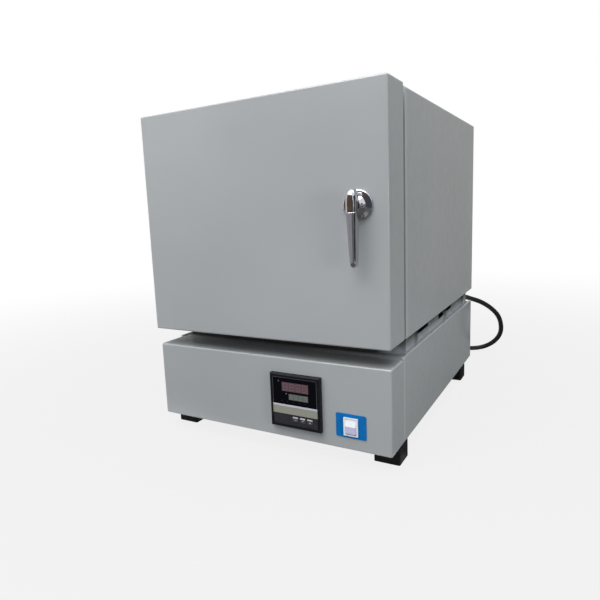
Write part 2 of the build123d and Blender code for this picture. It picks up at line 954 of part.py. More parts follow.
def switch_plate_piece():
    y0 = base_setback - switch_plate
    plate = switch_block(switch_plate_width, switch_plate_tall, y0, base_setback, switch_z + switch_plate_lift)
    plate = fillet(plate.edges().filter_by(Axis.Y), bend)
    width, tall = switch_body_width + 2 * seat_gap, switch_body_tall + 2 * seat_gap
    return plate - switch_block(width, tall, y0, base_setback)


def switch_body():
    seat = base_setback - switch_plate
    flange = switch_block(switch_width, switch_tall, seat - switch_flange, seat)
    flange = fillet(flange.edges().filter_by(Axis.Y), 1)
    body = flange + switch_block(switch_body_width, switch_body_tall, seat, seat + switch_body_depth)
    body -= switch_block(well_width, well_tall, seat - switch_flange, seat + well_depth)
    reach = switch_body_width / 2 + 1
    return body - across(switch_x - reach, switch_x + reach, rocker_y, switch_z, rocker_axle_r + run_gap)


def switch_rocker():
    """The rocker: two faces that meet in a low ridge, on an axle across the switch."""
    half_width = well_width / 2 - seat_gap
    profile = Polyline(
        (-rocker_ridge, 0), (-rocker_shoulder, rocker_half), (-1, rocker_half), (3, 4),
        (3, -4), (-1, -rocker_half), (-rocker_shoulder, -rocker_half), close=True)
    rocker = extrude(Plane.YZ * make_face(profile), 2 * half_width)
    rocker = Pos(-half_width, 0, 0) * rocker
    rocker = fillet(rocker.edges().filter_by(Axis.X).sort_by(Axis.Y)[1:3], 0.8)
    axle = switch_body_width / 2 - seat_gap
    rocker += across(-axle, axle, 0, 0, rocker_axle_r)
    return Pos(switch_x, rocker_y, switch_z) * Rot(-rocker_tilt, 0, 0) * rocker


# Power parts in the base


def relay_sink():
    """A finned aluminium heat sink that stands on the base's floor."""
    z0, z1 = base_z + sheet, base_z + sheet + sink_height
    sink = block(0, sink_web, sink_y, sink_y + sink_length, z0, z1)
    step = (sink_length - sink_fin) / (sink_fins - 1)
    for n in range(sink_fins):
        y = sink_y + n * step
        sink += block(sink_web - sink_width, 0, y, y + sink_fin, z0, z1)
    return sink


def power_relay():
    y0 = sink_y + (sink_length - relay_length) / 2
    z0 = base_z + sheet + relay_lift
    relay = block(sink_web, sink_web + relay_depth, y0, y0 + relay_length, z0, z0 + relay_height)
    return fillet(relay.faces().sort_by(Axis.X)[-1].edges(), 2)


def terminal_y():
    return base_end - terminal_inset


def terminal_block():
    z0 = base_z + sheet
    x0 = terminal_x - terminal_length / 2
    y0, y1 = terminal_y(), terminal_y() + terminal_width
    body = block(x0, x0 + terminal_length, y0, y1, z0, z0 + terminal_height)
    for x in terminal_pole_places():
        body -= upright(x, y0 + terminal_width / 2, z0 + terminal_height / 2, z0 + terminal_height, 7)
    return body


def terminal_pole_places():
    step = terminal_length / terminal_poles
    return [terminal_x - terminal_length / 2 + (n + 0.5) * step for n in range(terminal_poles)]


# Mains lead

def cord_gland():
    """The strain relief in the riser's back wall: nut, neck, collar and tapered sleeve."""
    start = riser_end - sheet - gland_nut
    gland = rod(gland_x, gland_z, start - 2, riser_end, gland_neck_r)
    gland += rod(gland_x, gland_z, start, riser_end - sheet, gland_nut_r)
    gland += rod(gland_x, gland_z, riser_end, riser_end + gland_collar, gland_r)
    sleeve = turned(ribbed(gland_r, gland_tip_r, gland_taper, gland_rings))
    return gland + Pos(gland_x, riser_end + gland_collar, gland_z) * sleeve


# The lead's free run from the strain relief down to the bench and along it to the coil
lead_route = [
    (gland_x, gland_end, gland_z),
    (gland_x, 656, gland_z),
    (223, 690, 174),
    (243, 722, 162),
    (265, 754, 141),
    (283, 781, 114),
    (288, 803, 82),
    (284, 819, 52),
    (267, 825, 27),
    (242, 823, 11),
    (214, 811, cord_r),
    (179, 808, cord_r),
    (140, coil_y, cord_r),
    (coil_x + 2 * cord_r, coil_y, cord_r),
]

# From the coil's upper end the lead dips and comes up again into the plug
tail_route = [
    (coil_x - 2 * cord_r, coil_y, cord_r + coil_layer),
    (60, coil_y, cord_r + coil_layer),
    (36, 810, 15.5),
    (12, 808, 14),
    (-12, 807, plug_height / 2),
    (-34, 807, plug_height / 2),
]


def route_radii(points):
    """The radius of the bend at each inner point: as large as its two runs allow."""
    radii = []
    for before, at, after in zip(points, points[1:], points[2:]):
        run_in = Vector(*at) - Vector(*before)
        run_out = Vector(*after) - Vector(*at)
        half_turn = math.radians(run_in.get_angle(run_out)) / 2
        radii.append(0.45 * min(run_in.length, run_out.length) / math.tan(half_turn))
    return radii


def cord_tube(name, points):
    """A round cord along straight runs joined by tangent arcs."""
    radii = route_radii(points)
    path = FilletPolyline(*points, radius=radii)
    start = Plane(origin=path @ 0, z_dir=path % 0)
    tube = sweep(path=path, sections=start * Circle(cord_r))
    ideal = math.pi * cord_r**2 * path.length
    print(name, "length", round(path.length, 1), "radii", [round(radius) for radius in radii])
    print(name, "volume share of section times length", round(tube.volume / ideal, 4))
    return tube


def coil_total_turns():
    return 2 * coil_layer_turns + coil_climb_turns


def coil_outer_r():
    return coil_mean_r + coil_pitch * coil_layer_turns / 2


def coil_point(turn):
    """A point on the coil's middle line: in over the bench, up one layer, and out again on top."""
    inward = min(turn, coil_layer_turns)
    outward = max(0.0, turn - coil_layer_turns - coil_climb_turns)
    radius = coil_outer_r() - coil_pitch * (inward - outward)
    share = min(1.0, max(0.0, (turn - coil_layer_turns) / coil_climb_turns))
    height = cord_r + coil_layer * (1 - math.cos(math.pi * share)) / 2
    angle = math.pi / 2 + 2 * math.pi * turn
    centre_y = coil_y - coil_outer_r()
    return Vector(coil_x + radius * math.cos(angle), centre_y + radius * math.sin(angle), height)


def coil_direction(turn):
    step = 0.01
    if turn < step or turn > coil_total_turns() - step:
        return Vector(-1, 0, 0)
    return (coil_point(turn + step) - coil_point(turn - step)).normalized()


def biarc(start, start_dir, end, end_dir):
    """Two arcs that leave start and reach end along the given directions."""
    chord = end - start
    along = chord.dot(start_dir + end_dir)
    spread = 2 * (1 - start_dir.dot(end_dir))
    reach = (-along + math.sqrt(along**2 + spread * chord.dot(chord))) / spread
    joint = (start + end) * 0.5 + (start_dir - end_dir) * (reach / 2)
    first = Edge.make_tangent_arc(start, start_dir, joint)
    second = Edge.make_tangent_arc(joint, first % 1, end)
    return [first, second]


def cord_coil():
    """The put-away length of the lead: one unbroken cord, wound in two layers."""
    quarters = round(4 * coil_total_turns())
    stops = [n / 4 for n in range(quarters + 1)]
    first, last = coil_point(0), coil_point(stops[-1])
    run = Vector(2 * cord_r, 0, 0)
    edges = [Edge.make_line(first + run, first)]
    for a, b in zip(stops, stops[1:]):
        edges += biarc(coil_point(a), coil_direction(a), coil_point(b), coil_direction(b))
    edges.append(Edge.make_line(last, last - run))
    path = Wire(edges)
    start = Plane(origin=first + run, z_dir=(-1, 0, 0))
    tube = sweep(path=path, sections=start * Circle(cord_r))
    print("cord_coil length", round(path.length, 1), "least gap", round(coil_gap(path), 2))
    print("cord_coil volume share", round(tube.volume / (math.pi * cord_r**2 * path.length), 4))
    return tube


def coil_gap(path):
    """The least gap of the coil's cord to itself, from points along its middle line."""
    count = 700
    points = [path @ (n / count) for n in range(count + 1)]
    spacing = path.length / count
    skip = int(4 * cord_r / spacing)
    gaps = [
        (points[i] - points[j]).length
        for i in range(count + 1)
        for j in range(i + skip, count + 1)
    ]
    return min(gaps) - 2 * cord_r


def plug_start():
    return tail_route[-1]


def plug_body():
    """The moulded plug with its tapered sleeve, lying on the bench."""
    x, y, z = plug_start()
    sleeve = turned(ribbed(relief_tip_r, relief_root_r, relief_length, relief_rings))
    sleeve = Pos(x, y, z) * Rot(0, 0, 90) * sleeve
    x1 = x - relief_length
    body = block(x1 - plug_length, x1, y - plug_width / 2, y + plug_width / 2, 0, plug_height)
    return fillet(body.edges(), plug_round) + sleeve


def plug_pins():
    x, y, z = plug_start()
    x1 = x - relief_length - plug_length
    pins = []
    for dy, dz, turn in ((-pin_spread, 3, 35), (pin_spread, 3, -35), (0, -8, 90)):
        pin = Pos(x1 - pin_length / 2, y + dy, z + dz) * Rot(turn, 0, 0)
        pins.append(pin * Box(pin_length, pin_thickness, pin_width))
    return group(pins)


parts = {
    "feet": group([foot(corner) for corner in foot_corners()]),
    "base_front_pan": base_front_pan(),
    "base_wrap": base_wrap(),
    "base_top_plate": base_top_plate(),
    "base_rear_panel": base_rear_panel(),
    "riser_frame": riser_frame(),
    "body_shell": body_shell(),
    "body_floor": body_floor(),
    "body_front": body_front(),
    "rear_cover": rear_cover(),
    "cabinet_screws": group([foot_bolt(corner) for corner in foot_corners()] + rear_cover_screws()),
    "mouth_ring": mouth_ring(),
    "chamber_sides": group(mirrored(side_board())),
    "chamber_floor": lining_slab(chamber_z - board),
    "chamber_roof": lining_slab(chamber_top),
    "chamber_back": back_board(),
    "body_insulation": body_insulation(),
    "bulkhead": bulkhead(),
    "hearth_plate": hearth_plate(),
    "heating_elements": group(mirrored(element())),
    "element_insulators": element_insulators(),
    "element_terminals": element_terminals(),
    "thermocouple_sheath": thermocouple_sheath(),
    "thermocouple_head": thermocouple_head(),
    "door_shell": door_shell(),
    "door_back_plate": door_back_plate(),
    "door_insulation": door_insulation(),
    "door_plug": door_plug(),
    "door_gasket": door_gasket(),
    "hinge_door_halves": hinge_halves(-door_half, True),
    "hinge_body_halves": hinge_halves(-body_half, False),
    "hinge_pins": hinge_pins(),
    "handle_rosette": handle_rosette(),
    "handle_lever": lever_blade(),
    "handle_cap": lever_cap(),
    "handle_spindle": spindle(),
    "latch_sleeve": latch_sleeve(),
    "latch_tongue": latch_tongue(),
    "latch_nut": latch_nut(),
    "controller_bezel": controller_bezel(),
    "controller_face": controller_face(),
    "controller_lens": controller_lens(),
    "controller_band": controller_band(),
    "controller_case": controller_case(),
    "controller_clamp": controller_clamp(),
    "key_left": controller_key(0),
    "key_middle": controller_key(1),
    "key_right": controller_key(2),
    "switch_plate": switch_plate_piece(),
    "switch_body": switch_body(),
    "switch_rocker": switch_rocker(),
    "relay_sink": relay_sink(),
    "power_relay": power_relay(),
    "terminal_block": terminal_block(),
    "cord_gland": cord_gland(),
    "cord_lead": cord_tube("cord_lead", lead_route),
    "cord_coil": cord_coil(),
    "cord_tail": cord_tube("cord_tail", tail_route),
    "plug_body": plug_body(),
    "plug_pins": plug_pins(),
}

os.makedirs("parts", exist_ok=True)
to_origin = Pos(-origin_x, -origin_y, 0)
print("origin", round(origin_x, 3), round(origin_y, 3), "nodes", len(parts))
for name, solid in parts.items():
    export_step(to_origin * solid, f"parts/{name}.step")
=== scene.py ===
import math

import bmesh
import bpy
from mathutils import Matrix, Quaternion, Vector


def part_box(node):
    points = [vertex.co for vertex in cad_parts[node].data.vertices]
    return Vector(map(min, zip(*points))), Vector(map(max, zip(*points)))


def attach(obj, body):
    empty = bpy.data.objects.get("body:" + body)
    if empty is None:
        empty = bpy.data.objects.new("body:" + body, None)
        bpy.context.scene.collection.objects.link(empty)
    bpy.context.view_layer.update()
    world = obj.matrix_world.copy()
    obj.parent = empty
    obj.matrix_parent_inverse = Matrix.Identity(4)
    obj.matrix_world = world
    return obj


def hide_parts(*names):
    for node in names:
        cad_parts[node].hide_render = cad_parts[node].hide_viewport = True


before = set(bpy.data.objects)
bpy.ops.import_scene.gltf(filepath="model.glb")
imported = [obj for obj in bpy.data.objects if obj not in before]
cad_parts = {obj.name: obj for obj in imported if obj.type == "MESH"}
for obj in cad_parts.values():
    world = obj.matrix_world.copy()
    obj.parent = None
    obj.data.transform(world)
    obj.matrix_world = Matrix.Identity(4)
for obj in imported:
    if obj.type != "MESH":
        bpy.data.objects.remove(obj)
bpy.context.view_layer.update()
bpy.context.scene.view_settings.view_transform = "Standard"


# Rubber feet
# Four moulded black rubber blocks under the base, each held by a bolt from below. The rubber is
# matt, with a fine grain and an uneven bloom.
def shader_of(finish):
    """The material's one shader."""
    return finish.node_tree.nodes["Principled BSDF"]


def new_finish(name, colour, roughness, metallic=0.0, specular=0.5):
    """A material with one shader, ready for the detail of its surface."""
    finish = bpy.data.materials.new(name)
    finish.use_nodes = True
    shader = shader_of(finish)
    shader.inputs["Base Color"].default_value = (*colour, 1)
    shader.inputs["Roughness"].default_value = roughness
    shader.inputs["Metallic"].default_value = metallic
    shader.inputs["Specular IOR Level"].default_value = specular
    return finish


def grain(finish, size, detail=3.0, stretch=(1, 1, 1)):
    """Noise whose spots are about this many metres across."""
    nodes, links = finish.node_tree.nodes, finish.node_tree.links
    place = nodes.new("ShaderNodeTexCoord")
    spread = nodes.new("ShaderNodeMapping")
    spread.inputs["Scale"].default_value = stretch
    noise = nodes.new("ShaderNodeTexNoise")
    noise.inputs["Scale"].default_value = 1 / size
    noise.inputs["Detail"].default_value = detail
    links.new(place.outputs["Object"], spread.inputs["Vector"])
    links.new(spread.outputs["Vector"], noise.inputs["Vector"])
    return noise.outputs["Fac"]


def shade_between(finish, socket, pattern, low, high, start=0.3, end=0.7):
    """Lets a shader value run from low to high with a pattern; both are colours or plain numbers."""
    nodes, links = finish.node_tree.nodes, finish.node_tree.links
    ramp = nodes.new("ShaderNodeValToRGB")
    for stop, place, value in zip(ramp.color_ramp.elements, (start, end), (low, high)):
        stop.position = place
        stop.color = (*value, 1) if hasattr(value, "__len__") else (value, value, value, 1)
    links.new(pattern, ramp.inputs["Fac"])
    links.new(ramp.outputs["Color"], shader_of(finish).inputs[socket])


def relief(finish, pattern, depth, strength=1.0):
    """Raises and sinks the surface with a pattern, by this depth in metres; layers add up."""
    nodes, links = finish.node_tree.nodes, finish.node_tree.links
    bump = nodes.new("ShaderNodeBump")
    bump.inputs["Distance"].default_value = depth
    bump.inputs["Strength"].default_value = strength
    links.new(pattern, bump.inputs["Height"])
    normal = shader_of(finish).inputs["Normal"]
    for link in list(normal.links):
        links.new(link.from_socket, bump.inputs["Normal"])
    links.new(bump.outputs["Normal"], normal)


def dress(finish, *nodes):
    """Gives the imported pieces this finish."""
    for node in nodes:
        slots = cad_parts[node].data.materials
        slots.clear()
        slots.append(finish)


foot_rubber = new_finish("foot_rubber", (0.007, 0.007, 0.008), 0.7, specular=0.15)
shade_between(
    foot_rubber, "Base Color", grain(foot_rubber, 0.02), (0.005, 0.005, 0.006), (0.011, 0.010, 0.010)
)
shade_between(foot_rubber, "Roughness", grain(foot_rubber, 0.012), 0.6, 0.8)
relief(foot_rubber, grain(foot_rubber, 0.0008), 0.0002, 0.5)
dress(foot_rubber, "feet")


# Cabinet sheet
# Folded mild steel, powder coated in a pale cool grey: semi-gloss, with a fine orange peel. A painted
# highlight makes the coat paler along the front edges of the base's wrap and of the body's shell.
def coated(finish):
    """The powder coat's gloss and orange peel."""
    shade_between(finish, "Roughness", grain(finish, 0.02, 4), 0.32, 0.42, 0.35, 0.65)
    relief(finish, grain(finish, 0.0022, 1), 0.00006, 0.45)
    shader_of(finish).inputs["Coat Weight"].default_value = 0.6
    shader_of(finish).inputs["Coat Roughness"].default_value = 0.13


def cabinet_paint(name):
    """The whole finish of a painted sheet."""
    finish = new_finish(name, (0.40, 0.42, 0.43), 0.36)
    darker, lighter = (0.386, 0.405, 0.416), (0.412, 0.431, 0.441)
    shade_between(finish, "Base Color", grain(finish, 0.30, 2), darker, lighter, 0.35, 0.65)
    coated(finish)
    relief(finish, grain(finish, 0.15, 1), 0.00025, 0.08)
    return finish


def along(finish, axis):
    """The place on the piece along an axis, as a share of its own length."""
    nodes, links = finish.node_tree.nodes, finish.node_tree.links
    place = nodes.new("ShaderNodeTexCoord")
    split = nodes.new("ShaderNodeSeparateXYZ")
    links.new(place.outputs["Generated"], split.inputs["Vector"])
    return split.outputs[axis]


def soft_step(tree, value, start, end, low=0.0, high=1.0):
    """Runs softly from low to high while the value goes from start to end."""
    step = tree.nodes.new("ShaderNodeMapRange")
    step.interpolation_type = "SMOOTHSTEP"
    step.inputs["From Min"].default_value = start
    step.inputs["From Max"].default_value = end
    step.inputs["To Min"].default_value = low
    step.inputs["To Max"].default_value = high
    tree.links.new(value, step.inputs["Value"])
    return step.outputs["Result"]


def worked_out(tree, operation, *values):
    """One step of arithmetic on plain numbers and on the results of other nodes."""
    step = tree.nodes.new("ShaderNodeMath")
    step.operation = operation
    for socket, value in zip(step.inputs, values):
        if isinstance(value, bpy.types.NodeSocket):
            tree.links.new(value, socket)
        else:
            socket.default_value = value
    return step.outputs[0]


def painted_edge_highlight(finish, node, full=0.005, faded=0.014, paler=0.22):
    """Paints a highlight beside the piece's front edge: paler fully at first, then fading."""
    low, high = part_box(node)
    length = high.y - low.y
    tree = finish.node_tree
    highlight_mask = soft_step(tree, along(finish, "Y"), faded / length, full / length)
    brighter = tree.nodes.new("ShaderNodeVectorMath")
    brighter.operation = "SCALE"
    base_colour = shader_of(finish).inputs["Base Color"]
    tree.links.new(base_colour.links[0].from_socket, brighter.inputs["Vector"])
    tree.links.new(worked_out(tree, "MULTIPLY_ADD", highlight_mask, paler, 1.0), brighter.inputs["Scale"])
    tree.links.new(brighter.outputs["Vector"], base_colour)


paint = cabinet_paint("paint")
dress(paint, "base_front_pan", "base_rear_panel", "body_front", "rear_cover", "door_shell")
dress(paint, "hinge_door_halves", "hinge_body_halves")
for node in ("base_wrap", "body_shell"):
    highlighted_paint = cabinet_paint(node + "_paint")
    # A painted highlight along the front edge of the wrap and of the shell
    painted_edge_highlight(highlighted_paint, node)
    dress(highlighted_paint, node)


# Top plate of the base
# The same painted sheet, with painted shade from the door above and some heat browning: darker more
# and more towards the riser, but not at its right-hand end, where light comes in at the open side.
top_sheet = new_finish("top_sheet", (0.40, 0.42, 0.43), 0.36)
top_tree = top_sheet.node_tree
plate_low, plate_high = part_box("base_top_plate")
riser_low, riser_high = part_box("riser_frame")
plate_length = plate_high.y - plate_low.y
plate_width = plate_high.x - plate_low.x
shade_from = 0.012 / plate_length
shade_full = (riser_low.y - plate_low.y) / plate_length
plate_lit_end = 0.110 / plate_width
# Painted shade under the door, with some heat browning, fading out at the lit right-hand end
shade_and_browning = worked_out(
    top_tree,
    "MULTIPLY",
    soft_step(top_tree, along(top_sheet, "Y"), shade_from, shade_full),
    soft_step(top_tree, along(top_sheet, "X"), 1.0, 1 - plate_lit_end),
)
shade_between(
    top_sheet, "Base Color", shade_and_browning, (0.395, 0.415, 0.426), (0.060, 0.054, 0.046), 0.0, 0.9
)
coated(top_sheet)
dress(top_sheet, "base_top_plate")


# Riser sheet
# The riser between base and body is the same painted sheet, with painted light and shade: pale low
# down, where light comes in over the base, and darker, in uneven patches, towards the body above it.
# Its front, behind the door's foot, is painted dark as shade but for its right-hand end.
riser_sheet = new_finish("riser_sheet", (0.38, 0.40, 0.42), 0.4)
riser_tree = riser_sheet.node_tree
riser_width = riser_high.x - riser_low.x
riser_depth = riser_high.y - riser_low.y
patch_share = 0.45
front_shade_depth = 0.004 / riser_depth
riser_lit_end = 0.010 / riser_width
front_shade_end = 0.075 / riser_width
patches = grain(riser_sheet, 0.025, 4, (1, 1, 2))
# Painted shade: darker up the riser towards the body, in uneven patches
shade_and_patches = worked_out(riser_tree, "MULTIPLY_ADD", patches, patch_share, along(riser_sheet, "Z"))
# Painted shade on the riser's front behind the door's foot, but not at its right-hand end
front_shade = worked_out(
    riser_tree,
    "MULTIPLY",
    soft_step(riser_tree, along(riser_sheet, "Y"), front_shade_depth, 0.0),
    soft_step(riser_tree, along(riser_sheet, "X"), 1 - riser_lit_end, 1 - front_shade_end),
)
riser_painted_shade = worked_out(riser_tree, "ADD", shade_and_patches, front_shade)
# Painted light and shade: pale low down, dark under the body and on the front
shade_between(
    riser_sheet, "Base Color", riser_painted_shade, (0.60, 0.64, 0.68), (0.05, 0.048, 0.045), 0.15, 1.0
)
shade_between(riser_sheet, "Roughness", grain(riser_sheet, 0.008, 3, (6, 1, 12)), 0.30, 0.50)
relief(riser_sheet, grain(riser_sheet, 0.02, 2), 0.0002, 0.25)
dress(riser_sheet, "riser_frame")


# Zinc-plated inner sheet
# The body's floor, the bulkhead and the door's back plate are bare plated sheet, brushed flat, with
# a faint spangle in lighter and darker patches.
zinc = new_finish("zinc", (0.52, 0.53, 0.54), 0.38, 1.0)
shade_between(zinc, "Base Color", grain(zinc, 0.018, 1), (0.46, 0.47, 0.48), (0.60, 0.61, 0.62))
shade_between(zinc, "Roughness", grain(zinc, 0.006, 3, (1, 14, 14)), 0.3, 0.5)
relief(zinc, grain(zinc, 0.002, 2, (1, 20, 20)), 0.00004, 0.4)
dress(zinc, "body_floor", "bulkhead", "door_back_plate")


# Screws, pins and latch steel
# Turned steel with a bright plating and fine marks from the turning: the feet's bolts, the rear
# cover's screws, the pins that hang the door, and the spindle that turns the latch's tongue.
steel = new_finish("steel", (0.50, 0.50, 0.51), 0.32, 1.0)
shade_between(steel, "Base Color", grain(steel, 0.004), (0.44, 0.44, 0.43), (0.58, 0.58, 0.59))
shade_between(steel, "Roughness", grain(steel, 0.0015), 0.25, 0.42)
relief(steel, grain(steel, 0.0006, 2, (1, 1, 12)), 0.00003, 0.4)
dress(steel, "cabinet_screws", "hinge_pins", "handle_spindle")
dress(steel, "latch_sleeve", "latch_tongue", "latch_nut")


# Chamber lining
# Vacuum-formed fibre boards, off-white and dry, with a felted face and faint darker patches. Behind
# them lies loose fibre blanket, softer and more uneven; the hearth plate is a fired, browner slab.
fibre_board = new_finish("fibre_board", (0.66, 0.64, 0.59), 0.95, specular=0.2)
shade_between(
    fibre_board, "Base Color", grain(fibre_board, 0.03, 5), (0.58, 0.555, 0.50), (0.71, 0.69, 0.65)
)
relief(fibre_board, grain(fibre_board, 0.0016, 5), 0.0006, 0.6)
relief(fibre_board, grain(fibre_board, 0.012, 2), 0.001, 0.3)
dress(fibre_board, "mouth_ring", "chamber_sides", "chamber_floor", "chamber_roof", "chamber_back")
dress(fibre_board, "door_plug")

fibre_wool = new_finish("fibre_wool", (0.80, 0.79, 0.75), 1.0, specular=0.2)
shade_between(
    fibre_wool, "Base Color", grain(fibre_wool, 0.02, 6), (0.70, 0.69, 0.64), (0.86, 0.85, 0.82)
)
relief(fibre_wool, grain(fibre_wool, 0.004, 6, (1, 1, 4)), 0.002, 0.7)
dress(fibre_wool, "body_insulation", "door_insulation")

hearth = new_finish("hearth", (0.56, 0.50, 0.42), 0.8, specular=0.3)
shade_between(hearth, "Base Color", grain(hearth, 0.025, 5), (0.48, 0.42, 0.34), (0.62, 0.57, 0.49))
relief(hearth, grain(hearth, 0.001, 3), 0.0002, 0.6)
dress(hearth, "hearth_plate")


# Gasket rope
# A woven glass rope, off-white with faint darker patches, glued round the back of the door. Its
# strands run slantwise across it, and it seals against the body's front when the door is shut.
gasket_rope = new_finish("gasket_rope", (0.57, 0.55, 0.50), 0.95, specular=0.2)
shade_between(
    gasket_rope, "Base Color", grain(gasket_rope, 0.01, 4), (0.50, 0.475, 0.42), (0.62, 0.60, 0.56)
)


def woven(finish, pitch, depth, slant=0.9, wave_at_scale_one=0.314):
    """Strands that cross each other, this far apart in metres and slanting by this many radians."""
    nodes, links = finish.node_tree.nodes, finish.node_tree.links
    place = nodes.new("ShaderNodeTexCoord")
    for turn in (slant, -slant):
        tilt = nodes.new("ShaderNodeMapping")
        tilt.inputs["Rotation"].default_value = (0.0, turn, 0.0)
        strands = nodes.new("ShaderNodeTexWave")
        strands.inputs["Scale"].default_value = wave_at_scale_one / pitch
        strands.inputs["Distortion"].default_value = 0.6
        links.new(place.outputs["Object"], tilt.inputs["Vector"])
        links.new(tilt.outputs["Vector"], strands.inputs["Vector"])
        relief(finish, strands.outputs["Fac"], depth, 0.7)


woven(gasket_rope, 0.003, 0.0008)
dress(gasket_rope, "door_gasket")


# Heating elements and thermocouple
# Bent resistance rods, oxidised dark by use, led out at the back through glazed ceramic bushes to
# brass clamps. The thermocouple has a glazed sheath; its head and the relay's sink are castings.
element_alloy = new_finish("element_alloy", (0.10, 0.09, 0.085), 0.6, 0.7)
shade_between(
    element_alloy, "Base Color", grain(element_alloy, 0.008, 4), (0.06, 0.05, 0.045), (0.16, 0.14, 0.13)
)
relief(element_alloy, grain(element_alloy, 0.001, 4), 0.0001, 0.6)
dress(element_alloy, "heating_elements")

glazed_ceramic = new_finish("glazed_ceramic", (0.80, 0.78, 0.73), 0.25)
shade_between(
    glazed_ceramic, "Base Color", grain(glazed_ceramic, 0.01), (0.76, 0.74, 0.68), (0.84, 0.82, 0.78)
)
shade_between(glazed_ceramic, "Roughness", grain(glazed_ceramic, 0.004), 0.15, 0.35)
dress(glazed_ceramic, "element_insulators", "thermocouple_sheath")

brass = new_finish("brass", (0.60, 0.45, 0.20), 0.3, 1.0)
shade_between(brass, "Base Color", grain(brass, 0.006, 4), (0.50, 0.36, 0.15), (0.68, 0.53, 0.27))
shade_between(brass, "Roughness", grain(brass, 0.002), 0.22, 0.42)
dress(brass, "element_terminals", "plug_pins")

cast_aluminium = new_finish("cast_aluminium", (0.60, 0.61, 0.62), 0.42, 1.0)
shade_between(
    cast_aluminium, "Base Color", grain(cast_aluminium, 0.01), (0.54, 0.55, 0.56), (0.66, 0.67, 0.68)
)
shade_between(cast_aluminium, "Roughness", grain(cast_aluminium, 0.003), 0.35, 0.55)
relief(cast_aluminium, grain(cast_aluminium, 0.001, 3), 0.0001, 0.5)
dress(cast_aluminium, "thermocouple_head", "relay_sink")


# Lever handle
# Die-cast and chrome plated: a round rosette with a flared neck carries a lever that slims towards
# its rounded tip. A cap covers the lever's head, down to a fine raised lip.
chrome = new_finish("chrome", (0.61, 0.61, 0.63), 0.07, 1.0)
shade_between(chrome, "Roughness", grain(chrome, 0.01), 0.05, 0.11)
relief(chrome, grain(chrome, 0.025, 1), 0.0002, 0.15)


def rear_middle(node):
    """The middle of a piece's rear face."""
    low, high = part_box(node)
    return Vector(((low.x + high.x) / 2, high.y, (low.z + high.z) / 2))


handle_axis = rear_middle("handle_rosette")

# Height from the spindle, half width, distance of the front and of the back from the door, and the
# rounding of the corners, all in millimetres, from the lever's tip to its head
lever_sections = [
    (-91.0, 1.6, 25.2, 17.0, 1.3),
    (-90.5, 2.5, 26.4, 15.5, 2.1),
    (-89.5, 3.3, 27.5, 14.2, 2.8),
    (-87.0, 4.3, 28.6, 12.8, 3.6),
    (-80.0, 5.0, 29.4, 12.2, 4.2),
    (-45.0, 6.4, 31.9, 12.0, 4.9),
    (-10.7, 7.8, 34.4, 12.0, 5.4),
]
head_sections = [
    (-10.7, 7.8, 34.4, 12.0, 5.4),
    (-10.6, 8.2, 34.8, 11.6, 5.8),
    (-10.1, 8.2, 34.8, 11.6, 5.8),
    (-9.5, 7.8, 34.4, 12.0, 5.4),
    (6.0, 8.0, 34.8, 12.0, 5.6),
    (13.0, 7.6, 34.1, 12.0, 5.5),
    (17.5, 6.8, 32.9, 12.1, 5.2),
    (20.5, 5.7, 31.3, 12.6, 4.6),
    (22.5, 4.3, 29.3, 13.8, 3.6),
    (23.6, 2.9, 27.3, 15.4, 2.5),
    (24.0, 1.7, 25.4, 17.0, 1.5),
]


def steady_slopes(xs, ys):
    """Slopes for a smooth line through points that never swings past them."""
    steps = [(y1 - y0) / (x1 - x0) for x0, x1, y0, y1 in zip(xs, xs[1:], ys, ys[1:])]
    slopes = [steps[0]]
    for a, b in zip(steps, steps[1:]):
        slopes.append(2 * a * b / (a + b) if a * b > 0 else 0.0)
    return slopes + [steps[-1]]


def between(xs, ys, slopes, x):
    """The smooth line's value at x."""
    n = max(i for i in range(len(xs) - 1) if i == 0 or xs[i] <= x)
    span = xs[n + 1] - xs[n]
    t = (x - xs[n]) / span
    value = (2 * t**3 - 3 * t**2 + 1) * ys[n] + (3 * t**2 - 2 * t**3) * ys[n + 1]
    return value + span * ((t**3 - 2 * t**2 + t) * slopes[n] + (t**3 - t**2) * slopes[n + 1])


def round_corners(half, front, back, corner, steps=9):
    """A rounded rectangle's outline as places across the width and away from the door."""
    outline = []
    for side, edge, start in ((1, front, 0), (-1, front, 90), (-1, back, 180), (1, back, 270)):
        middle_x = side * (half - corner)
        middle_y = edge - corner if edge == front else edge + corner
        for n in range(steps):
            angle = math.radians(start + 90 * n / (steps - 1))
            outline.append((middle_x + corner * math.cos(angle), middle_y + corner * math.sin(angle)))
    return outline


def smooth_piece(name, points, faces, finish, sharp_above=40):
    """A new piece with smooth shading, but for edges that turn by more than this many degrees."""
    mesh = bpy.data.meshes.new(name)
    mesh.from_pydata(points, [], faces)
    mesh.validate()
    for face in mesh.polygons:
        face.use_smooth = True
    mesh.set_sharp_from_angle(angle=math.radians(sharp_above))
    mesh.materials.append(finish)
    piece = bpy.data.objects.new(name, mesh)
    bpy.context.collection.objects.link(piece)
    return piece


